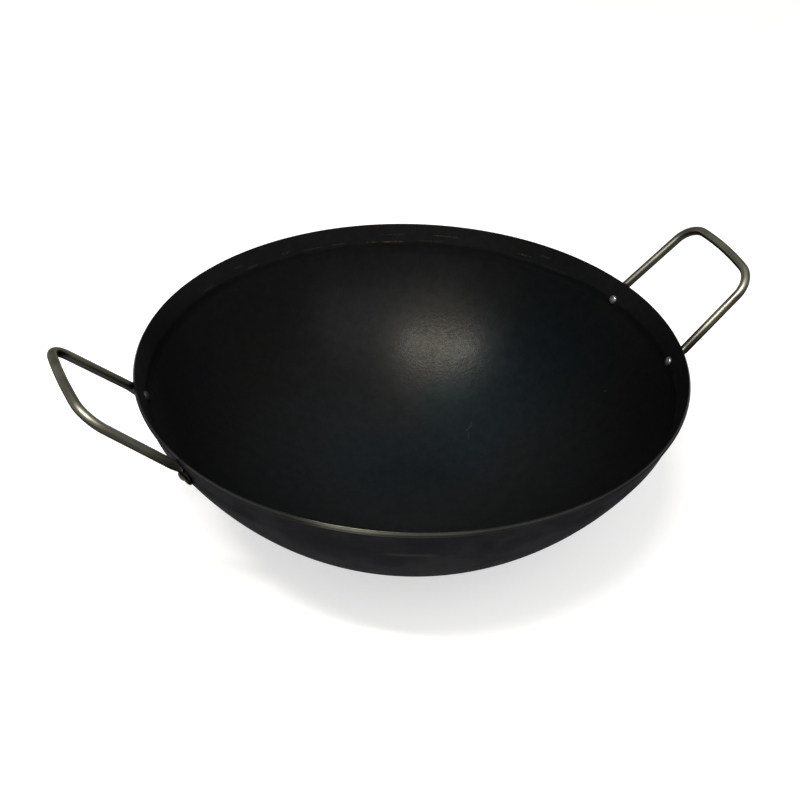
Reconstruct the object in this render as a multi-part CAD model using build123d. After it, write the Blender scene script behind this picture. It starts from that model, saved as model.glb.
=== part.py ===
"""Kadai: a pressed sheet-steel bowl with a flared band under its rim and two riveted wire handles.

Millimetres, +Z up. The origin is on the bowl's axis at the underside of its base,
and the handles stand towards +X and -X.
"""
import math
import os

from build123d import *

os.makedirs("parts", exist_ok=True)

# Bowl: the wall is followed on its inside face, from the middle of the base up to the rim.
rim_radius = 180.0          # to the outer corner of the rim's cut edge
bowl_depth = 122.0          # from that corner down to the inside of the base
base_radius = 34.0          # the flat that the bowl stands on
gauge = 2.2                 # sheet thickness
band_length = 13.9          # sloping band between the bend and the rim, on the inside
bend_radius = 6.0           # outside radius of the bend under the band
step_length = 1.8           # straight, steep part just under the bend
shoulder_radius = 28.8      # tight curve from the steep part into the wall
edge_setback = 1.6          # how far the rim's edge is ground back on the outside
edge_rounding = 0.35        # the rim's two corners
knuckle_slope = 26.0        # degrees from level, where the base's curve meets the wall's
wall_slope = 62.6
shoulder_slope = 76.0
band_slope = 67.7

# Handles: one round bar each, with both ends hammered flat against the wall.
wire_radius = 3.0
wire_gap = 0.2              # between the bar and the rim that it passes
leg_spacing = 87.8          # between the bar's two legs at the rim
grip_spacing = 79.7         # between them at the outer corners
leg_length = 66.1           # from the rim's radius out to the corners, along the slope
grip_bow = 3.2              # how far the grip's middle stands out beyond its corners
corner_radius = 17.2
handle_rise = 44.8          # degrees above level
handle_swing = 4.45         # degrees by which each handle sits towards -Y

# Flattened ends and their rivets
pad_radius = 7.3
pad_thickness = 2.4
pad_bedding = 0.8           # how much further the pad follows the wall's curve
rivet_spacing = 84.7
rivet_below_bend = 0.2
shank_radius = 2.0
head_radius = 3.2
head_height = 2.0


def sin(degrees):
    return math.sin(math.radians(degrees))


def cos(degrees):
    return math.cos(math.radians(degrees))


# The two large radii follow from the rim, the depth and the base's flat: what is left of the
# run and the rise is shared between the knuckle's arc and the wall's.
bend_inside = bend_radius + gauge
rim_height = bowl_depth + gauge
inner_rim_radius = rim_radius - gauge * sin(band_slope) + edge_setback * cos(band_slope)
inner_rim_height = rim_height + gauge * cos(band_slope) + edge_setback * sin(band_slope)
run = (
    inner_rim_radius - base_radius - band_length * cos(band_slope) - step_length * cos(shoulder_slope)
    - bend_inside * (sin(shoulder_slope) - sin(band_slope))
    - shoulder_radius * (sin(shoulder_slope) - sin(wall_slope))
)
rise = (
    inner_rim_height - gauge - band_length * sin(band_slope) - step_length * sin(shoulder_slope)
    - bend_inside * (cos(band_slope) - cos(shoulder_slope))
    - shoulder_radius * (cos(wall_slope) - cos(shoulder_slope))
)
knuckle_run, knuckle_rise = sin(knuckle_slope), 1 - cos(knuckle_slope)
wall_run, wall_rise = sin(wall_slope) - sin(knuckle_slope), cos(knuckle_slope) - cos(wall_slope)
spread = knuckle_run * wall_rise - wall_run * knuckle_rise
knuckle_radius = (run * wall_rise - rise * wall_run) / spread
wall_radius = (rise * knuckle_run - run * knuckle_rise) / spread


def wall_line(outward, setback):
    """One face of the sheet in section, `outward` from the inside face, stopping `setback` short."""
    level = gauge - outward
    edges = [Line((0, level), (base_radius, level))]
    arcs = (
        (knuckle_radius + outward, knuckle_slope),
        (wall_radius + outward, wall_slope - knuckle_slope),
        (shoulder_radius + outward, shoulder_slope - wall_slope),
    )
    for radius, turn in arcs:
        edges.append(JernArc(edges[-1] @ 1, edges[-1] % 1, radius, turn))
    edges.append(Line(edges[-1] @ 1, edges[-1] @ 1 + (edges[-1] % 1) * step_length))
    edges.append(JernArc(edges[-1] @ 1, edges[-1] % 1, bend_inside - outward, band_slope - shoulder_slope))
    edges.append(Line(edges[-1] @ 1, edges[-1] @ 1 + (edges[-1] % 1) * (band_length - setback)))
    return edges


inside = wall_line(0, 0)
outside = wall_line(gauge, edge_setback)
rim_edge = Line(inside[-1] @ 1, outside[-1] @ 1)
axis_edge = Line(inside[0] @ 0, outside[0] @ 0)
section = make_face([*inside, rim_edge, *outside, axis_edge])
section = fillet(section.vertices().sort_by(Axis.Y)[-2:], edge_rounding)
shell = revolve(Plane.XZ * section, Axis.Z)

# Where a rivet stands: on the outside face just below the bend, square to the wall there.
bend = outside[-2]
seat_slope = (band_slope + shoulder_slope) / 2
seat_run = (bend @ 0.5).X - rivet_below_bend * cos(seat_slope)
seat_height = (bend @ 0.5).Y - rivet_below_bend * sin(seat_slope)
seat_angle = math.degrees(math.asin(rivet_spacing / 2 / seat_run))
seat = Plane(
    origin=(seat_run * cos(seat_angle), seat_run * sin(seat_angle), seat_height),
    x_dir=(-sin(seat_angle), cos(seat_angle), 0),
    z_dir=(sin(seat_slope) * cos(seat_angle), sin(seat_slope) * sin(seat_angle), -cos(seat_slope)),
)


def on_seat(across, up, out):
    """A point given from the rivet's seat: along the rim, up the wall, away from the wall."""
    return seat.from_local_coords(Vector(across, up, out))


# Handle, drawn with its legs either side of the XZ plane. The bar passes just under the rim's corner.
wire_drop = (wire_radius + wire_gap) / cos(handle_rise)
rim_run = math.sqrt(rim_radius**2 - (leg_spacing / 2) ** 2)
neck_top = wire_drop * sin(handle_rise)
grip = Plane(
    origin=(rim_run, 0, rim_height - wire_drop),
    x_dir=(cos(handle_rise), 0, sin(handle_rise)),
    z_dir=(-sin(handle_rise), 0, cos(handle_rise)),
)
leg_lean = (leg_spacing - grip_spacing) / 2 / leg_length
neck_half = leg_spacing / 2 - leg_lean * neck_top
rear_corner, front_corner = (leg_length, grip_spacing / 2), (leg_length, -grip_spacing / 2)
loop = Wire([
    Line((neck_top, neck_half), rear_corner),
    ThreePointArc(rear_corner, (leg_length + grip_bow, 0), front_corner),
    Line(front_corner, (neck_top, -neck_half)),
])
corners = loop.vertices().sort_by(Axis.X)[-2:]
wire_path = grip * loop.fillet_2d(corner_radius, corners)
leg_start = Plane(origin=wire_path @ 0, z_dir=wire_path % 0)
wire = sweep(leg_start * Circle(wire_radius), wire_path)

pad_up = head_radius + wire_gap * 2
pad_end = Plane(origin=on_seat(0, pad_up, pad_thickness / 2 + wire_gap), x_dir=seat.x_dir, z_dir=-seat.y_dir)
wire_end = Plane(origin=wire_path @ 0, x_dir=seat.x_dir, z_dir=-(wire_path % 0))
neck = loft([
    wire_end * Circle(wire_radius),
    pad_end * Ellipse(math.sqrt(pad_radius**2 - pad_up**2) - wire_gap, pad_thickness / 2),
], ruled=True)
pad = seat * Pos(0, 0, -pad_bedding) * extrude(Circle(pad_radius), pad_thickness + pad_bedding)
rear_end = neck + pad - shell
rivet_hole = seat * Pos(0, 0, -gauge * 2) * Cylinder(
    shank_radius, gauge * 2 + pad_thickness + head_height, align=(Align.CENTER, Align.CENTER, Align.MIN)
)
rear_end -= rivet_hole
handle = wire + rear_end + mirror(rear_end, Plane.XZ)

# Rivet: a dome on the inside of the bowl, the shank, and the same dome closed over the pad.
dome_radius = (head_radius**2 + head_height**2) / (2 * head_height)
dome = revolve(
    Plane.XZ * make_face([
        Line((0, -pad_bedding), (head_radius, -pad_bedding)),
        Line((head_radius, -pad_bedding), (head_radius, 0)),
        RadiusArc((head_radius, 0), (0, head_height), -dome_radius),
        Line((0, head_height), (0, -pad_bedding)),
    ]),
    Axis.Z,
)
shank = seat * Pos(0, 0, -gauge) * Cylinder(
    shank_radius, gauge + pad_thickness, align=(Align.CENTER, Align.CENTER, Align.MIN)
)
inner_head = Plane(origin=on_seat(0, 0, -gauge), x_dir=seat.x_dir, z_dir=-seat.z_dir) * dome - shell
outer_head = Plane(origin=on_seat(0, 0, pad_thickness), x_dir=seat.x_dir, z_dir=seat.z_dir) * dome - rear_end
outer_head = outer_head.solids().sort_by(SortBy.VOLUME)[-1]
rivet = shank + inner_head + outer_head

# The four places of a rivet: on the right handle and, mirrored, on the left one.
swing = Rot(0, 0, -handle_swing)


def right_rear(shape):
    return swing * shape


def right_front(shape):
    return swing * mirror(shape, Plane.XZ)


def left_rear(shape):
    return mirror(right_rear(shape), Plane.YZ)


def left_front(shape):
    return mirror(right_front(shape), Plane.YZ)


places = {
    "right_rear": right_rear,
    "right_front": right_front,
    "left_rear": left_rear,
    "left_front": left_front,
}
bowl = shell
for place in places.values():
    bowl -= place(rivet_hole)

nodes = {
    "bowl": bowl,
    "handle_right": swing * handle,
    "handle_left": mirror(swing * handle, Plane.YZ),
}
for name, place in places.items():
    nodes[f"rivet_{name}"] = place(rivet)

for name, shape in nodes.items():
    solids = shape.solids()
    print(name, "solids", len(solids), "volume", round(sum(solid.volume for solid in solids)))
    export_step(shape, f"parts/{name}.step")
print("knuckle radius", round(knuckle_radius, 1), "wall radius", round(wall_radius, 1))
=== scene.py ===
"""The looks of the kadai: its pressed bowl, bent bar handles and rivets, on a pale studio floor.

Metres, +Z up, in the CAD model's frame. Sizes of the object, and places on it, are written in
millimetres and turned into metres by MM. The pieces are finer meshes of the CAD solids' own shapes.
"""
import math

import bmesh
import bpy
from mathutils import Matrix, Quaternion, Vector


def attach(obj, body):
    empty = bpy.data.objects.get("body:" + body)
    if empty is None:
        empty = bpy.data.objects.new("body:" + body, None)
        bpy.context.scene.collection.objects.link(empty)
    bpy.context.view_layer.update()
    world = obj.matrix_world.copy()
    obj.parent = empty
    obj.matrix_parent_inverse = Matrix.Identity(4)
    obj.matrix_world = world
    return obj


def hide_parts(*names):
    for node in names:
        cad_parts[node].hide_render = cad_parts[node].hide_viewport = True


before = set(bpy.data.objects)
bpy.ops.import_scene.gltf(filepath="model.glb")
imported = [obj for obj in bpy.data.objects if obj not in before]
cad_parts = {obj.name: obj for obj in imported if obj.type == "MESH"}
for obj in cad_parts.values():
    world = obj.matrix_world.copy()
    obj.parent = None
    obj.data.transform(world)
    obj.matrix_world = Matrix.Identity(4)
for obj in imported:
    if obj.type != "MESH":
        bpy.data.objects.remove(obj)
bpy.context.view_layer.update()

MM = 0.001
up = Vector((0, 0, 1))

# Bowl, as in the CAD source
rim_radius = 180.0
bowl_depth = 122.0
base_radius = 34.0
gauge = 2.2
band_length = 13.9
bend_radius = 6.0
step_length = 1.8
shoulder_radius = 28.8
edge_setback = 1.6
edge_rounding = 0.35
knuckle_slope, wall_slope, shoulder_slope, band_slope = 26.0, 62.6, 76.0, 67.7

# Handles and rivets, as in the CAD source
wire_radius = 3.0
wire_gap = 0.2
leg_spacing = 87.8
grip_spacing = 79.7
leg_length = 66.1
grip_bow = 3.2
corner_radius = 17.2
handle_rise = 44.8
handle_swing = 4.45
pad_radius = 7.3
pad_thickness = 2.4
rivet_spacing = 84.7
rivet_below_bend = 0.2
head_radius = 3.2
head_height = 2.0

# Where the meshes are softer than the CAD solids
pad_top_share = 0.9          # of a head's radius: how far above the rivet the pad begins
bar_pull_share = 0.4         # of the neck's length: how straight it leaves the bar
pad_pull_share = 0.3         # of the neck's length: how straight it meets the pad
pad_tip_share = 0.35         # of the pad's thickness that is left at its tip
pad_tip_width = 2.5          # half width below which the pad thins towards its tip
narrowest_pad = 0.01         # half width at the tip, where the last ring closes almost to a line
round_power, flat_power = 2, 4
head_skirt = 0.25            # upright border of a rivet's head
head_buried = 0.8            # how deep a head's mesh goes into what it sits on

# Fineness of the meshes: points along each stretch, and around each round piece
base_steps, knuckle_steps, wall_steps, shoulder_steps = 6, 16, 44, 8
steep_steps, bend_steps, band_steps, edge_steps = 2, 6, 6, 4
bowl_segments = 360
wire_segments = 28
bar_step = 3.0
corner_steps, grip_steps = 20, 16
neck_steps, pad_steps = 14, 16
head_steps, head_segments = 9, 32


def sin(degrees):
    return math.sin(math.radians(degrees))


def cos(degrees):
    return math.cos(math.radians(degrees))


# The wall's two large radii, solved from the rim, the depth and the base's flat
bend_inside = bend_radius + gauge
rim_height = bowl_depth + gauge
inner_rim_radius = rim_radius - gauge * sin(band_slope) + edge_setback * cos(band_slope)
inner_rim_height = rim_height + gauge * cos(band_slope) + edge_setback * sin(band_slope)
run = (
    inner_rim_radius - base_radius - band_length * cos(band_slope) - step_length * cos(shoulder_slope)
    - bend_inside * (sin(shoulder_slope) - sin(band_slope))
    - shoulder_radius * (sin(shoulder_slope) - sin(wall_slope))
)
rise = (
    inner_rim_height - gauge - band_length * sin(band_slope) - step_length * sin(shoulder_slope)
    - bend_inside * (cos(band_slope) - cos(shoulder_slope))
    - shoulder_radius * (cos(wall_slope) - cos(shoulder_slope))
)
knuckle_run, knuckle_rise = sin(knuckle_slope), 1 - cos(knuckle_slope)
wall_run, wall_rise = sin(wall_slope) - sin(knuckle_slope), cos(knuckle_slope) - cos(wall_slope)
spread = knuckle_run * wall_rise - wall_run * knuckle_rise
knuckle_radius = (run * wall_rise - rise * wall_run) / spread
wall_radius = (rise * knuckle_run - run * knuckle_rise) / spread


def wall_points(outward, setback):
    """One face of the sheet as (radius, height) points, from the base's middle to the rim."""
    level = gauge - outward
    points = [(base_radius * k / base_steps, level) for k in range(base_steps + 1)]

    def arc(radius, start, end, steps):
        x, y = points[-1]
        turn = 1 if end > start else -1
        centre_x, centre_y = x - turn * radius * sin(start), y + turn * radius * cos(start)
        for k in range(1, steps + 1):
            slope = start + (end - start) * k / steps
            points.append((centre_x + turn * radius * sin(slope), centre_y - turn * radius * cos(slope)))

    def straight(length, slope, steps):
        x, y = points[-1]
        for k in range(1, steps + 1):
            points.append((x + length * k / steps * cos(slope), y + length * k / steps * sin(slope)))

    arc(knuckle_radius + outward, 0, knuckle_slope, knuckle_steps)
    arc(wall_radius + outward, knuckle_slope, wall_slope, wall_steps)
    arc(shoulder_radius + outward, wall_slope, shoulder_slope, shoulder_steps)
    straight(step_length, shoulder_slope, steep_steps)
    arc(bend_inside - outward, shoulder_slope, band_slope, bend_steps)
    straight(band_length - setback, band_slope, band_steps)
    return points


def rounded_corner(before, corner, after):
    """Points that round a corner of the rim's section."""
    before, corner, after = Vector(before), Vector(corner), Vector(after)
    start = corner + (before - corner).normalized() * edge_rounding
    end = corner + (after - corner).normalized() * edge_rounding
    points = []
    for k in range(edge_steps + 1):
        t = k / edge_steps
        points.append(tuple(start * (1 - t) ** 2 + corner * 2 * t * (1 - t) + end * t ** 2))
    return points


def mesh_object(name, vertices, faces, node):
    """A smooth mesh from millimetres, riding on the part's one body in place of a CAD node."""
    mesh = bpy.data.meshes.new(name)
    mesh.from_pydata([Vector(vertex) * MM for vertex in vertices], [], faces)
    mesh.polygons.foreach_set("use_smooth", [True] * len(mesh.polygons))
    mesh.update()
    obj = bpy.data.objects.new(name, mesh)
    bpy.context.scene.collection.objects.link(obj)
    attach(obj, "root")
    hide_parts(node)
    return obj


def face_outwards(obj):
    """Turns all faces outwards: a mirrored piece would otherwise be inside out."""
    shape = bmesh.new()
    shape.from_mesh(obj.data)
    bmesh.ops.recalc_face_normals(shape, faces=shape.faces)
    shape.to_mesh(obj.data)
    shape.free()


def grid_faces(rings, count, first=0):
    """Quads between rings of `count` points each, where `first` is the first ring's first point."""
    faces = []
    for ring in range(rings - 1):
        low, high = first + ring * count, first + (ring + 1) * count
        for k in range(count):
            following = (k + 1) % count
            faces.append((low + k, low + following, high + following, high + k))
    return faces


def lathe(section, segments):
    """Revolves a section whose first and last points are on the axis."""
    vertices = [(0, 0, section[0][1])]
    rings = section[1:-1]
    for radius, height in rings:
        for k in range(segments):
            angle = 2 * math.pi * k / segments
            vertices.append((radius * math.cos(angle), radius * math.sin(angle), height))
    faces = grid_faces(len(rings), segments, 1)
    last = len(vertices)
    vertices.append((0, 0, section[-1][1]))
    tail = 1 + (len(rings) - 1) * segments
    for k in range(segments):
        following = (k + 1) % segments
        faces.append((0, 1 + following, 1 + k))
        faces.append((last, tail + k, tail + following))
    return vertices, [face[::-1] for face in faces]


# The bowl: the inside face out to the rim, the rim's edge with its two corners, the outside face back
inside = wall_points(0, 0)
outside = wall_points(gauge, edge_setback)
inner_corner = rounded_corner(inside[-2], inside[-1], outside[-1])
outer_corner = rounded_corner(inside[-1], outside[-1], outside[-2])
section = inside[:-1] + inner_corner + outer_corner + outside[-2::-1]
vertices, faces = lathe(section, bowl_segments)
bowl = mesh_object("pressed_bowl", vertices, faces, "bowl")

# A rivet's seat, on the outside face just below the bend
bend_middle = outside[-1 - band_steps - bend_steps // 2]
seat_slope = (band_slope + shoulder_slope) / 2
seat_run = bend_middle[0] - rivet_below_bend * cos(seat_slope)
seat_height = bend_middle[1] - rivet_below_bend * sin(seat_slope)
seat_angle = math.degrees(math.asin(rivet_spacing / 2 / seat_run))
seat_origin = Vector((seat_run * cos(seat_angle), seat_run * sin(seat_angle), seat_height))
seat_across = Vector((-sin(seat_angle), cos(seat_angle), 0))
seat_out = Vector((sin(seat_slope) * cos(seat_angle), sin(seat_slope) * sin(seat_angle), -cos(seat_slope)))
seat_up = seat_out.cross(seat_across)


def on_seat(across, upward, out):
    """A point given from the rivet's seat: along the rim, up the wall, away from the wall."""
    return seat_origin + seat_across * across + seat_up * upward + seat_out * out


# The handle's plane, which rises outwards from just under the rim's corner
wire_drop = (wire_radius + wire_gap) / cos(handle_rise)
rim_run = math.sqrt(rim_radius ** 2 - (leg_spacing / 2) ** 2)
neck_top = wire_drop * sin(handle_rise)
grip_along = Vector((cos(handle_rise), 0, sin(handle_rise)))
grip_out = Vector((-grip_along.z, 0, grip_along.x))
grip_origin = Vector((rim_run, 0, rim_height - wire_drop))
leg_lean = (leg_spacing - grip_spacing) / 2 / leg_length
neck_half = leg_spacing / 2 - leg_lean * neck_top


def on_grip(along, across):
    return grip_origin + grip_along * along + Vector((0, across, 0))


def arc_points(centre, start, end, steps):
    """Points along an arc from `start` to `end`, both included."""
    first, last = start - centre, end - centre
    sweep = first.angle(last)
    points = []
    for k in range(steps + 1):
        t = k / steps
        turned = first * math.sin((1 - t) * sweep) + last * math.sin(t * sweep)
        points.append(centre + turned / math.sin(sweep))
    return points


def bar_path():
    """The bar's centre line on the handle's plane: leg, corner, bowed grip, and the same mirrored."""
    half = grip_spacing / 2
    bow_radius = (half ** 2 + grip_bow ** 2) / (2 * grip_bow)
    bow_centre = Vector((leg_length + grip_bow - bow_radius, 0))
    start = Vector((neck_top, neck_half))
    along = (Vector((leg_length, half)) - start).normalized()
    inward = Vector((along.y, -along.x))
    # The corner's circle touches the leg, and the bow from within.
    offset = start + inward * corner_radius - bow_centre
    reach = offset.dot(along)
    reach = -reach + math.sqrt(reach ** 2 - offset.length_squared + (bow_radius - corner_radius) ** 2)
    centre = start + inward * corner_radius + along * reach
    middle = bow_centre + Vector((bow_radius, 0))
    touch = bow_centre + (centre - bow_centre).normalized() * bow_radius
    corner = arc_points(centre, centre - inward * corner_radius, touch, corner_steps)
    points = [start] + corner[:-1] + arc_points(bow_centre, touch, middle, grip_steps)
    points += [Vector((point.x, -point.y)) for point in points[-2::-1]]
    return [on_grip(point.x, point.y) for point in points]


def refined(points, step):
    """The same line with points no further apart than `step`."""
    finer = [points[0]]
    for start, end in zip(points, points[1:]):
        count = max(1, math.ceil((end - start).length / step))
        finer += [start.lerp(end, k / count) for k in range(1, count + 1)]
    return finer


ring_angles = [2 * math.pi * k / wire_segments for k in range(wire_segments)]


def bar_rings(path):
    """Rings of points around the round bar, one at each point of its centre line."""
    rings = []
    for i, centre in enumerate(path):
        tangent = (path[min(i + 1, len(path) - 1)] - path[max(i - 1, 0)]).normalized()
        across = tangent.cross(grip_out).normalized()
        ring = [centre + (across * math.cos(a) + grip_out * math.sin(a)) * wire_radius for a in ring_angles]
        rings.append(ring)
    return rings


def flat_ring(centre, out, half_width, half_thick, power):
    """A ring around the flattened bar: an ellipse at power 2, squarer above that."""
    ring = []
    for angle in ring_angles:
        x, y = math.cos(angle), math.sin(angle)
        scale = (abs(x) ** power + abs(y) ** power) ** (-1 / power)
        ring.append(centre + seat_across * (x * scale * half_width) + out * (y * scale * half_thick))
    return ring


def flattened_end(path, bar_ring):
    """Rings of one hammered end: it widens and thins from the bar to the pad, which ends in a round."""
    half_pad = pad_thickness / 2
    pad_top = head_radius * pad_top_share
    pad_half_width = math.sqrt(pad_radius ** 2 - pad_top ** 2)
    bar_end, neck_end = path[0], on_seat(0, pad_top, half_pad)
    neck_length = (neck_end - bar_end).length
    from_bar = bar_end + (path[0] - path[1]).normalized() * neck_length * bar_pull_share
    to_pad = neck_end + seat_up * neck_length * pad_pull_share
    quarter_turn = wire_segments // 4
    bar_out = (bar_ring[quarter_turn] - bar_end).normalized()
    rings = []
    for k in range(1, neck_steps + 1):
        t = k / neck_steps
        ease = t * t * (3 - 2 * t)
        centre = bar_end * (1 - t) ** 3 + from_bar * 3 * t * (1 - t) ** 2
        centre += to_pad * 3 * t ** 2 * (1 - t) + neck_end * t ** 3
        half_width = wire_radius + (pad_half_width - wire_radius) * ease
        half_thick = wire_radius + (half_pad - wire_radius) * ease
        out = seat_out.lerp(bar_out, 1 - ease).normalized()
        power = round_power + (flat_power - round_power) * ease
        rings.append(flat_ring(centre, out, half_width, half_thick, power))
    for k in range(1, pad_steps + 1):
        t = k / pad_steps
        above = pad_top * (1 - t) - pad_radius * t
        half_width = math.sqrt(max(pad_radius ** 2 - above ** 2, narrowest_pad ** 2))
        fullness = min(1, half_width / pad_tip_width)
        half_thick = half_pad * (pad_tip_share + (1 - pad_tip_share) * fullness)
        rings.append(flat_ring(on_seat(0, above, half_pad), seat_out, half_width, half_thick, flat_power))
    return rings


def aligned(previous, ring):
    """The ring turned and, if needed, reversed so that it follows the one before without twisting."""
    count, compare_every = len(ring), 4
    compared = range(0, count, compare_every)
    best = None
    for order in (ring, ring[::-1]):
        for shift in range(count):
            score = sum((order[(k + shift) % count] - previous[k]).length_squared for k in compared)
            if best is None or score < best[0]:
                best = (score, order, shift)
    _, order, shift = best
    return [order[(k + shift) % count] for k in range(count)]


def handle_rings():
    """All rings of the handle, from one flattened end, along the bar, to the other."""
    path = refined(bar_path(), bar_step)
    bar = bar_rings(path)
    near_end = flattened_end(path, bar[0])
    # The far end is the mirror of the near one.
    far_end = [[Vector((point.x, -point.y, point.z)) for point in ring] for ring in near_end]
    sequence = near_end[::-1] + bar + far_end
    rings = [sequence[0]]
    for ring in sequence[1:]:
        rings.append(aligned(rings[-1], ring))
    return rings


def placed(side, vertex):
    """Turns a point of the right handle by the swing, and mirrors it for the left one."""
    x, y, z = vertex
    turned_x = cos(handle_swing) * x + sin(handle_swing) * y
    turned_y = cos(handle_swing) * y - sin(handle_swing) * x
    return Vector((side * turned_x, turned_y, z))


whole_handle = handle_rings()


def make_handle(name, side, node):
    vertices = [placed(side, point) for ring in whole_handle for point in ring]
    faces = grid_faces(len(whole_handle), wire_segments)
    faces.append(tuple(range(wire_segments)))
    tail = len(vertices) - wire_segments
    faces.append(tuple(reversed(range(tail, tail + wire_segments))))
    obj = mesh_object(name, vertices, faces, node)
    face_outwards(obj)
    return obj


handle_right = make_handle("bar_handle_right", 1, "handle_right")
handle_left = make_handle("bar_handle_left", -1, "handle_left")


def dome(base, direction):
    """A closed dome: its skirt runs into what it sits on, its crown is a shallow curve."""
    side = direction.cross(up).normalized()
    other = direction.cross(side)
    rings = [(head_radius, -head_buried), (head_radius, head_skirt)]
    for k in range(1, head_steps):
        angle = math.pi / 2 * k / head_steps
        height = head_skirt + (head_height - head_skirt) * math.sin(angle)
        rings.append((head_radius * math.cos(angle), height))
    vertices = []
    for radius, height in rings:
        for k in range(head_segments):
            angle = 2 * math.pi * k / head_segments
            around = side * radius * math.cos(angle) + other * radius * math.sin(angle)
            vertices.append(base + around + direction * height)
    faces = grid_faces(len(rings), head_segments)
    top = len(vertices)
    vertices.append(base + direction * head_height)
    last = top - head_segments
    faces += [(last + k, last + (k + 1) % head_segments, top) for k in range(head_segments)]
    faces.append(tuple(reversed(range(head_segments))))
    return vertices, faces


# Each rivet: one head on the inside of the bowl and one on the pad
heads = ((on_seat(0, 0, -gauge), -seat_out), (on_seat(0, 0, pad_thickness), seat_out))
rivets = []
for side_name, side in (("right", 1), ("left", -1)):
    for end_name, flip in (("rear", 1), ("front", -1)):
        vertices, faces = [], []
        for base, direction in heads:
            head_vertices, head_faces = dome(base, direction)
            first = len(vertices)
            faces += [tuple(first + i for i in face) for face in head_faces]
            vertices += [placed(side, (point.x, flip * point.y, point.z)) for point in head_vertices]
        name = f"{side_name}_{end_name}"
        rivet = mesh_object(f"rivet_heads_{name}", vertices, faces, f"rivet_{name}")
        face_outwards(rivet)
        rivets.append(rivet)


# The span in which most of a noise texture's values lie
noise_span = (0.3, 0.7)


class Nodes:
    """Short calls for building a material's node tree."""

    def __init__(self, name):
        self.material = bpy.data.materials.new(name)
        self.material.use_nodes = True
        self.tree = self.material.node_tree
        self.shader = self.tree.nodes["Principled BSDF"]

    def put(self, value, socket):
        """Links a node's output to a socket, or sets the socket to a plain value."""
        if isinstance(value, bpy.types.NodeSocket):
            self.tree.links.new(value, socket)
        else:
            socket.default_value = value

    def shade(self, name, value):
        """Sets one of the shader's own inputs."""
        self.put(value, self.shader.inputs[name])

    def add(self, kind, inputs=None, **settings):
        node = self.tree.nodes.new(kind)
        for key, value in settings.items():
            setattr(node, key, value)
        for key, value in (inputs or {}).items():
            self.put(value, node.inputs[key])
        return node

    def math(self, operation, a, b=0.0, clamp=False):
        return self.add("ShaderNodeMath", {0: a, 1: b}, operation=operation, use_clamp=clamp).outputs[0]

    def vector_math(self, operation, a, b=(0, 0, 0)):
        return self.add("ShaderNodeVectorMath", {0: a, 1: b}, operation=operation).outputs

    def times(self, *factors):
        """All factors multiplied with each other."""
        total = factors[0]
        for factor in factors[1:]:
            total = self.math("MULTIPLY", total, factor)
        return total

    def hypotenuse(self, a, b):
        return self.math("SQRT", self.math("ADD", self.math("POWER", a, 2.0), self.math("POWER", b, 2.0)))

    def noise(self, place, scale, detail=2.0, rough=0.5):
        settings = {"Vector": place, "Scale": scale, "Detail": detail, "Roughness": rough}
        return self.add("ShaderNodeTexNoise", settings).outputs["Fac"]

    def ramp(self, value, span, levels=(0.0, 1.0)):
        """Follows a value smoothly over its span from one level to the other, and holds both ends."""
        settings = {0: value, 1: span[0], 2: span[1], 3: levels[0], 4: levels[1]}
        return self.add("ShaderNodeMapRange", settings, interpolation_type="SMOOTHSTEP").outputs[0]

    def mix(self, share, a, b):
        """The first colour where the share is 0 and the second where it is 1."""
        node = self.add("ShaderNodeMix", {0: share}, data_type="RGBA")
        for socket, colour in ((6, a), (7, b)):
            plain = isinstance(colour, tuple)
            self.put((*colour, 1) if plain else colour, node.inputs[socket])
        return node.outputs[2]

    def scaled(self, colour, factor):
        """A colour scaled by a grey factor."""
        grey = self.add("ShaderNodeCombineColor", {0: factor, 1: factor, 2: factor}).outputs[0]
        inputs = {0: 1.0, 6: colour, 7: grey}
        return self.add("ShaderNodeMix", inputs, data_type="RGBA", blend_type="MULTIPLY").outputs[2]

    def fade(self, *stretches):
        """A factor that goes from 1 to other levels. A stretch has its coordinate, start, end and level."""
        factor = 1.0
        for coordinate, start, end, level in stretches:
            change = self.ramp(coordinate, (start * MM, end * MM), (1.0, level))
            factor = self.math("MULTIPLY", factor, change)
        return factor

    def object_place(self):
        """The place on the object, whole and as its three coordinates."""
        place = self.add("ShaderNodeTexCoord").outputs["Object"]
        x, y, z = self.add("ShaderNodeSeparateXYZ", {0: place}).outputs
        return place, x, y, z

    def normal(self):
        return self.add("ShaderNodeNewGeometry").outputs["Normal"]

    def bump(self, height, strength, depth, under=None):
        """A bumpy normal, on top of another one where `under` gives it."""
        inputs = {"Strength": strength, "Distance": depth * MM, "Height": height}
        if under is not None:
            inputs["Normal"] = under
        return self.add("ShaderNodeBump", inputs).outputs[0]


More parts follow.
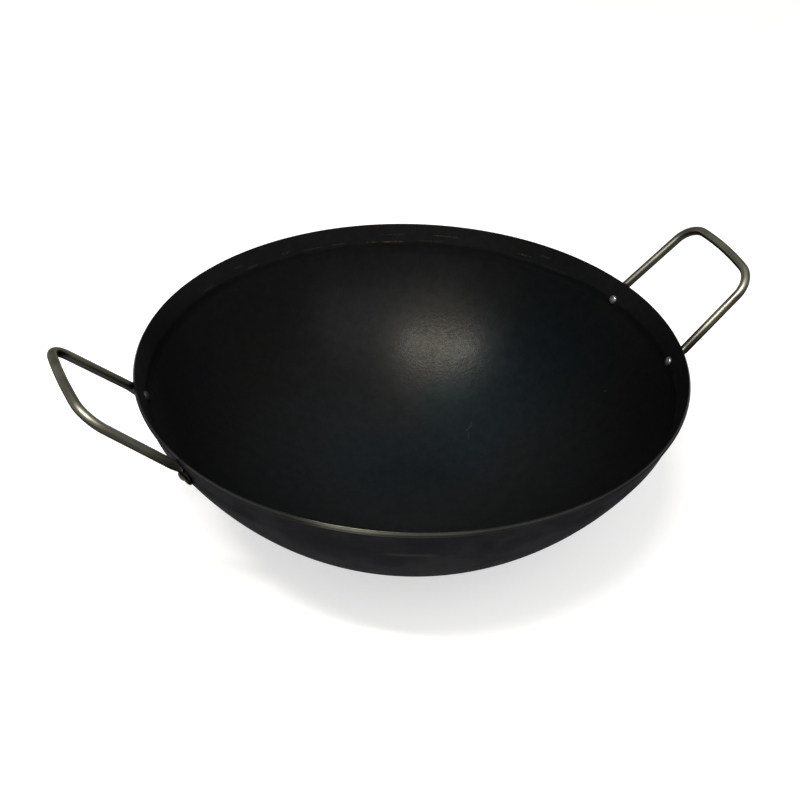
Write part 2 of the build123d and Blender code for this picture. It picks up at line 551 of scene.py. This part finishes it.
class BowlSteel(Nodes):
    """Dark oxide over steel: a dim, cloudy colour under a weak, broad gloss. The rim's cut edge is bare.

    Places and lengths are in millimetres, and angles around the bowl in degrees from +Y towards +X.
    """

    patch_raggedness = 20       # how far a patch's border wanders in and out
    scuff_core_share = 0.5      # of a scuff's length that is at full strength

    def __init__(self):
        super().__init__("blued_steel")
        self.place, self.x, self.y, self.z = self.object_place()
        self.reach = self.hypotenuse(self.x, self.y)
        self.around = self.math("DEGREES", self.math("ARCTAN2", self.x, self.y))
        self.clouds = self.noise(self.place, scale=9, detail=3)
        self.fine = self.noise(self.place, scale=60, detail=4, rough=0.6)
        self.peel = self.noise(self.place, scale=400, detail=3, rough=0.6)
        ragged = (-self.patch_raggedness * MM, self.patch_raggedness * MM)
        self.ragged = self.ramp(self.clouds, noise_span, ragged)
        self.edge, self.outer = self.edge_and_outside()
        wear = self.ramp(self.noise(self.place, scale=14, detail=3, rough=0.6), (0.35, 0.62), (0.6, 1.0))
        self.worn = self.times(self.edge, wear)
        self.polished = self.patch((62, 104, 45), 60)
        colour = self.marked(self.inside_colour())
        colour = self.mix(self.outer, colour, self.outside_colour())
        self.shade("Base Color", self.mix(self.worn, colour, self.bare_edge_and_painted_light()))
        self.finish()

    def patch(self, place, radius):
        """1 at a place on the wall, fading to 0 at `radius` from it, with a cloudy border."""
        away = self.vector_math("DISTANCE", self.place, [part * MM for part in place])["Value"]
        return self.ramp(self.math("ADD", away, self.ragged), (radius * MM, 0.0))

    def scuff(self, degrees, height, half_degrees, half_height):
        """1 in the middle of a scuff that runs around the wall, fading to 0 at its ends and borders."""
        along = self.math("ABSOLUTE", self.math("SUBTRACT", self.around, degrees))
        above = self.math("ABSOLUTE", self.math("SUBTRACT", self.z, height * MM))
        ends = self.ramp(along, (half_degrees, half_degrees * self.scuff_core_share))
        return self.times(ends, self.ramp(above, (half_height * MM, 0.0)))

    def scratch(self, start, end, half_width):
        """1 on a straight scratch, given as it lies seen from above, fading to 0 at its borders."""
        (start_x, start_y), (end_x, end_y) = start, end
        run_x, run_y = (end_x - start_x) * MM, (end_y - start_y) * MM
        from_x = self.math("SUBTRACT", self.x, start_x * MM)
        from_y = self.math("SUBTRACT", self.y, start_y * MM)
        along = self.math("ADD", self.times(from_x, run_x), self.times(from_y, run_y))
        along = self.math("DIVIDE", along, run_x ** 2 + run_y ** 2, clamp=True)
        off_x = self.math("SUBTRACT", from_x, self.times(along, run_x))
        off_y = self.math("SUBTRACT", from_y, self.times(along, run_y))
        return self.ramp(self.hypotenuse(off_x, off_y), (half_width * MM, 0.0))

    def edge_and_outside(self):
        """Two masks: the rim's cut edge, and the faces that look down, which are the outside."""
        normal = self.normal()
        flat = self.add("ShaderNodeCombineXYZ", {0: self.x, 1: self.y, 2: 0.0}).outputs[0]
        radial = self.vector_math("NORMALIZE", flat)["Vector"]
        outward = self.vector_math("DOT_PRODUCT", normal, radial)["Value"]
        edge_bottom, edge_top = (rim_height - 0.4) * MM, rim_height * MM
        height = self.ramp(self.z, (edge_bottom, edge_top))
        edge = self.times(height, self.ramp(outward, (-0.1, 0.5)))
        upward = self.add("ShaderNodeSeparateXYZ", {0: normal}).outputs[2]
        outer = self.times(self.ramp(upward, (0.05, -0.05)), self.math("SUBTRACT", 1.0, edge))
        return edge, outer

    def inside_colour(self):
        """Oxide in cloudy tints, finely mottled, with broad painted light and shade."""
        neutral, warm, teal = (0.0142, 0.0143, 0.0144), (0.0164, 0.0156, 0.0132), (0.0108, 0.0150, 0.0182)
        violet, green = (0.0138, 0.0132, 0.0156), (0.0098, 0.0156, 0.0150)
        colour = self.mix(self.ramp(self.clouds, (0.40, 0.64), (0.0, 0.15)), neutral, teal)
        for tint, strength, place, radius in (
            (teal, 1.00, (118, 47, 48), 100),
            (teal, 1.00, (68, 62, 18), 75),
            (teal, 0.50, (10, 10, 4), 90),
            (teal, 0.50, (-25, 60, 12), 85),
            (teal, 0.35, (-90, 20, 30), 110),
            (green, 0.80, (54, 80, 24), 42),
            (teal, 0.30, (80, -40, 30), 100),
            (violet, 1.00, (-133, 76, 77), 70),
            (violet, 1.00, (138, -90, 95), 80),
            (warm, 1.00, (62, 114, 50), 75),
        ):
            colour = self.mix(self.times(self.patch(place, radius), strength), colour, tint)
        # Painted light and shade: darker out towards the wall, on the right and at the front; lighter at
        # the left edge and on the band above the bend.
        painted_shading = self.fade(
            (self.reach, 70, 165, 0.66),
            (self.x, -150, -176, 2.00),
            (self.x, 100, 165, 0.76),
            (self.y, 30, -80, 0.86),
            (self.z, 112.5, 114.5, 1.22),
        )
        mottle = self.noise(self.place, scale=150, detail=5, rough=0.75)
        return self.scaled(colour, self.times(painted_shading, self.ramp(mottle, noise_span, (0.84, 1.07))))

    def marked(self, colour):
        """The inside's marks: a bend lighter in broken streaks, partly rubbed wear and partly a painted
        highlight, scuffs on the band, short scratches on the wall, specks.
        """
        # The bend's broken lighter streaks: partly rubbed wear, partly a painted highlight on the ridge.
        bend_bottom = self.ramp(self.z, (111.0 * MM, 112.4 * MM))
        bend_top = self.ramp(self.z, (114.6 * MM, 112.8 * MM))
        bend_streak_noise = self.noise(self.place, scale=22, detail=4, rough=0.65)
        bend_rub_and_highlight = self.times(bend_bottom, bend_top, self.ramp(bend_streak_noise, (0.44, 0.66), (0.0, 0.35)))
        bend_rub_and_highlight_colour, scuffed_colour = (0.0240, 0.0236, 0.0230), (0.0560, 0.0545, 0.0470)
        scratched_colour, speck_colour = (0.030, 0.029, 0.027), (0.045, 0.045, 0.043)
        colour = self.mix(bend_rub_and_highlight, colour, bend_rub_and_highlight_colour)
        broken = self.ramp(self.noise(self.place, scale=420, detail=3, rough=0.7), (0.34, 0.56))
        for degrees, height, half_degrees, half_height, strength in (
            (17.8, 113.6, 3.4, 0.75, 1.00),
            (12.4, 113.8, 1.9, 0.60, 0.70),
            (3.5, 114.8, 2.2, 0.55, 0.45),
            (-3.2, 114.7, 3.6, 0.55, 0.35),
            (31.2, 118.8, 3.8, 0.45, 0.85),
            (17.8, 118.8, 3.8, 0.50, 0.35),
            (27.5, 114.6, 4.0, 0.90, 0.25),
            (52.5, 115.8, 2.2, 0.90, 0.55),
            (-10.5, 116.3, 1.6, 1.30, 0.28),
            (-20.5, 114.6, 2.0, 1.20, 0.30),
            (-24.5, 118.3, 1.8, 1.30, 0.26),
            (-35.0, 115.0, 2.6, 1.20, 0.26),
            (58.0, 119.0, 1.6, 0.90, 0.40),
        ):
            mark = self.times(self.scuff(degrees, height, half_degrees, half_height), broken, strength)
            colour = self.mix(mark, colour, scuffed_colour)
        for start, end, half_width in (
            ((64.9, 42.0), (70.0, 43.5), 0.70),
            ((70.0, 43.5), (70.9, 46.5), 0.40),
            ((63.5, 34.5), (65.6, 39.3), 0.44),
        ):
            colour = self.mix(self.scratch(start, end, half_width), colour, scratched_colour)
        cells = self.add("ShaderNodeTexVoronoi", {"Vector": self.place, "Scale": 55.0}).outputs
        chance = self.add("ShaderNodeSeparateColor", {0: cells["Color"]}).outputs[0]
        rare, speck_strength = 0.93, 0.6
        chosen = self.math("GREATER_THAN", chance, rare)
        speck = self.times(self.ramp(cells["Distance"], (0.045, 0.02)), chosen, speck_strength)
        return self.mix(speck, colour, speck_colour)

    def outside_colour(self):
        """The outside is a little lighter and violet, blotchy, with painted light towards the right, and
        scraped in one place.
        """
        dark, light = (0.0140, 0.0143, 0.0160), (0.0215, 0.0218, 0.0241)
        blotches = self.noise(self.place, scale=32, detail=5, rough=0.65)
        colour = self.mix(self.ramp(blotches, (0.38, 0.66)), dark, light)
        # Painted light: the outside is lighter towards the right.
        colour = self.scaled(colour, self.fade((self.x, 60, 130, 2.60)))
        scraped_colour, scrape_strength = (0.0560, 0.0545, 0.0500), 0.35
        scraped = self.times(self.scuff(-157.0, 104.3, 6.0, 3.0), scrape_strength)
        return self.mix(scraped, colour, scraped_colour)

    def bare_edge_and_painted_light(self):
        """The rim's bare edge, with a painted highlight in one stretch at the front, and painted shade at
        its two corners and towards both sides.
        """
        # Heights on the edge: next to its outer corner, at its middle, and next to its inner corner
        low, middle, high = rim_height + 0.2, rim_height + 1.4, rim_height + 2.3
        patch_height = rim_height + 0.8
        colour = (0.096, 0.098, 0.097)
        # Painted highlight in a stretch at the front, and painted shade at the left.
        for tint, x, y, radius in (
            ((0.190, 0.191, 0.180), -75, -163.0, 44),
            ((0.460, 0.455, 0.366), -96, -152.0, 38),
            ((0.070, 0.072, 0.073), -169, -61.6, 60),
        ):
            colour = self.mix(self.patch((x, y, patch_height), radius), colour, tint)
        # Painted shade: darker towards the right and the far left, and towards both corners of the edge.
        painted_shading = self.fade(
            (self.x, 15, 60, 0.48),
            (self.x, -167, -176, 0.40),
            (self.z, middle, low, 0.18),
            (self.z, middle, high, 0.20),
        )
        return self.scaled(colour, painted_shading)

    def finish(self):
        """A half-metallic gloss, all metal where it is worn, with a thin, grainy coat on the inside."""
        oxide_metal, outside_loss, polish_loss = 0.5, 0.42, 0.24
        metal = self.math("SUBTRACT", oxide_metal, self.times(self.outer, outside_loss))
        metal = self.math("SUBTRACT", metal, self.times(self.polished, polish_loss))
        still_dull = self.math("SUBTRACT", 1.0, metal)
        self.shade("Metallic", self.math("ADD", metal, self.times(self.worn, still_dull)))
        rough_clouds = self.ramp(self.clouds, noise_span, (0.27, 0.30))
        rough_grain = self.ramp(self.fine, noise_span, (0.0, 0.04))
        self.shade("Roughness", self.math("ADD", rough_clouds, rough_grain))
        self.shade("Specular IOR Level", 0.0)
        self.shade("Specular Tint", (0.47, 0.47, 0.49, 1))
        bump_depth, fine_strength, peel_strength, polished_peel_strength = 0.3, 0.08, 0.12, 0.60
        pitted = self.math("ADD", self.times(self.polished, polished_peel_strength), peel_strength)
        bumpy = self.bump(self.fine, fine_strength, bump_depth)
        bumpy = self.bump(self.peel, pitted, bump_depth, bumpy)
        self.shade("Normal", bumpy)
        self.shade("Coat Normal", bumpy)
        coat_weight = 0.024
        grain = self.ramp(self.peel, (0.40, 0.62), (0.68, 1.34))
        self.shade("Coat Weight", self.times(self.math("SUBTRACT", 1.0, self.outer), grain, coat_weight))
        self.shade("Coat Roughness", 0.20)


def handle_material():
    """Worn bar steel, lighter above, with painted shade underneath and where the bar goes under the rim."""
    n = Nodes("drawn_bar_steel")
    place, x, y, _ = n.object_place()
    facing = n.add("ShaderNodeSeparateXYZ", {0: n.normal()}).outputs[2]
    stretches = n.noise(place, scale=40, detail=3, rough=0.6)
    grain = n.noise(place, scale=400)
    dark, light = (0.212, 0.206, 0.166), (0.280, 0.273, 0.220)
    colour = n.mix(n.ramp(stretches, (0.35, 0.7)), dark, light)
    # Painted shade: faces that look down are darker.
    colour = n.scaled(colour, n.ramp(facing, (0.10, 0.76), (0.13, 1.0)))
    # The right grip's outermost stretch is brighter.
    colour = n.scaled(colour, n.fade((x, 212, 224, 1.55)))
    # Painted shade where the bar goes under the rim, stronger towards the front.
    under_rim = n.ramp(n.hypotenuse(x, y), (200 * MM, 184 * MM))
    painted_rim_shade = n.times(under_rim, n.ramp(y, (0.0, -30 * MM), (0.30, 0.70)))
    n.shade("Base Color", n.scaled(colour, n.math("SUBTRACT", 1.0, painted_rim_shade)))
    n.shade("Metallic", 1.0)
    rough_stretches = n.ramp(stretches, noise_span, (0.31, 0.40))
    left_handle_duller = n.ramp(x, (50 * MM, -50 * MM), (0.0, 0.06))
    n.shade("Roughness", n.math("ADD", rough_stretches, left_handle_duller))
    n.shade("Specular Tint", (0.25, 0.25, 0.22, 1))
    n.shade("Normal", n.bump(grain, strength=0.15, depth=0.2))
    return n.material


def rivet_material(name, dark, light, metallic, smoothest, roughest, specular):
    """A rivet head of one finish: bright on the right handle; on the left one duller, and darkened by
    painted shade.
    """
    n = Nodes(name)
    place = n.object_place()[0]
    spots = n.noise(place, scale=350, detail=3, rough=0.6)
    n.shade("Base Color", n.mix(n.ramp(spots, (0.35, 0.7)), (dark,) * 3, (light,) * 3))
    n.shade("Roughness", n.ramp(spots, noise_span, (smoothest, roughest)))
    n.shade("Metallic", metallic)
    n.shade("Specular IOR Level", specular)
    return n.material


bowl.data.materials.append(BowlSteel().material)
bar_steel = handle_material()
for obj in (handle_right, handle_left):
    obj.data.materials.append(bar_steel)
bright_rivets = rivet_material(
    "bright_rivet_steel", dark=0.15, light=0.32, metallic=0.80,
    smoothest=0.24, roughest=0.36, specular=0.50,
)
# Painted shade: the left rivets are a darker, duller copy of the right ones.
dull_shaded_rivets = rivet_material(
    "dull_shaded_rivet_steel", dark=0.012, light=0.026, metallic=0.25,
    smoothest=0.40, roughest=0.52, specular=0.22,
)
for obj in rivets:
    obj.data.materials.append(bright_rivets if "right" in obj.name else dull_shaded_rivets)


def make_floor():
    """A wide, pale floor, which the camera and mirror rays see lifted to white, with its shadow kept."""
    half = 12.0
    corners = [(-half, -half, 0), (half, -half, 0), (half, half, 0), (-half, half, 0)]
    mesh = bpy.data.meshes.new("floor")
    mesh.from_pydata(corners, [], [(0, 1, 2, 3)])
    floor = bpy.data.objects.new("floor", mesh)
    bpy.context.scene.collection.objects.link(floor)
    n = Nodes("pale_floor")
    place, x, y, _ = n.object_place()
    n.shade("Base Color", n.mix(n.noise(place, scale=3), (0.60, 0.60, 0.60), (0.62, 0.62, 0.62)))
    n.shade("Roughness", 0.9)
    n.shade("Specular IOR Level", 0.1)
    rays = n.add("ShaderNodeLightPath").outputs
    seen = n.math("MAXIMUM", rays["Is Camera Ray"], rays["Is Glossy Ray"])
    seen = n.math("MAXIMUM", seen, rays["Is Transmission Ray"])
    # Far from the object the lamps light the floor less, so it is lifted more.
    near, far = 0.9, 3.5
    lift = n.ramp(n.hypotenuse(x, y), (near, far), (0.63, 0.93))
    n.shade("Emission Color", (1, 1, 1, 1))
    n.shade("Emission Strength", n.times(seen, lift))
    mesh.materials.append(n.material)


def make_world():
    """A white horizon, a dim band above it and a brighter ceiling."""
    world = bpy.data.worlds.new("studio")
    bpy.context.scene.world = world
    world.use_nodes = True
    tree = world.node_tree
    background = tree.nodes["Background"]
    direction = tree.nodes.new("ShaderNodeTexCoord")
    height = tree.nodes.new("ShaderNodeSeparateXYZ")
    tree.links.new(direction.outputs["Generated"], height.inputs[0])
    ramp = tree.nodes.new("ShaderNodeValToRGB")
    ramp.color_ramp.interpolation = "EASE"
    # The sine of the height above the horizon, and the level there
    stops = ((0.0, 1.0), (0.05, 1.0), (0.20, 0.11), (0.55, 0.11), (0.85, 0.40))
    elements = ramp.color_ramp.elements
    for position, _ in stops[2:]:
        elements.new(position)
    for element, (position, level) in zip(elements, stops):
        element.position = position
        element.color = (level, level, level, 1)
    tree.links.new(height.outputs[2], ramp.inputs[0])
    tree.links.new(ramp.outputs[0], background.inputs["Strength"])
    background.inputs["Color"].default_value = (1, 1, 1, 1)


lamp_aim = Vector((0, 0, 0.05))
lamp_distance = 1.6


def lamp(name, azimuth, elevation, spin, width, height, power, colour):
    """A soft box that shines at the bowl, spun on its own axis. Azimuth is from +Y towards +X."""
    data = bpy.data.lights.new(name, "AREA")
    data.shape = "RECTANGLE"
    data.size, data.size_y = width, height
    data.energy = power
    data.color = colour
    obj = bpy.data.objects.new(name, data)
    bpy.context.scene.collection.objects.link(obj)
    towards = Vector((sin(azimuth) * cos(elevation), cos(azimuth) * cos(elevation), sin(elevation)))
    obj.location = lamp_aim + towards * lamp_distance
    turn = towards.to_track_quat("Z", "Y") @ Quaternion((0, 0, 1), math.radians(spin))
    obj.rotation_euler = turn.to_euler()


make_floor()
make_world()
lamp("key_soft_box", azimuth=-130, elevation=63.9, spin=15, width=0.78, height=0.17, power=30,
     colour=(1.0, 0.96, 0.88))
lamp("broad_panel", azimuth=-172, elevation=53, spin=0, width=1.9, height=0.65, power=9,
     colour=(1.0, 0.98, 0.94))

# The camera, fitted to the photograph's view: it looks at the rim's middle, then pans, tilts and rolls
view_azimuth, view_elevation = -23.77, 33.27
view_distance_share = 4.356     # of the rim's radius
pan, tilt, roll = -0.510, 2.299, -1.436
focal_pixels, picture_pixels, sensor_width = 1193.9, 800, 36.0


def picture_axes(forward):
    """What is right and what is down for an upright camera that looks along `forward`."""
    right = forward.cross(up).normalized()
    return right, forward.cross(right)


def make_camera():
    back = Vector((
        sin(view_azimuth) * cos(view_elevation),
        -cos(view_azimuth) * cos(view_elevation),
        sin(view_elevation),
    ))
    right, down = picture_axes(-back)
    forward = -back + right * math.tan(math.radians(pan)) + down * math.tan(math.radians(tilt))
    forward.normalize()
    right, down = picture_axes(forward)
    across = right * cos(roll) + down * sin(roll)
    downward = down * cos(roll) - right * sin(roll)
    data = bpy.data.cameras.new("camera")
    data.sensor_width = sensor_width
    data.lens = focal_pixels / picture_pixels * sensor_width
    camera = bpy.data.objects.new("camera", data)
    bpy.context.scene.collection.objects.link(camera)
    rim_middle = up * rim_height * MM
    turn = Matrix((across, -downward, -forward)).transposed()
    distance = view_distance_share * rim_radius * MM
    camera.matrix_world = Matrix.Translation(back * distance + rim_middle) @ turn.to_4x4()
    bpy.context.scene.camera = camera


make_camera()
bpy.context.scene.view_settings.view_transform = "Standard"
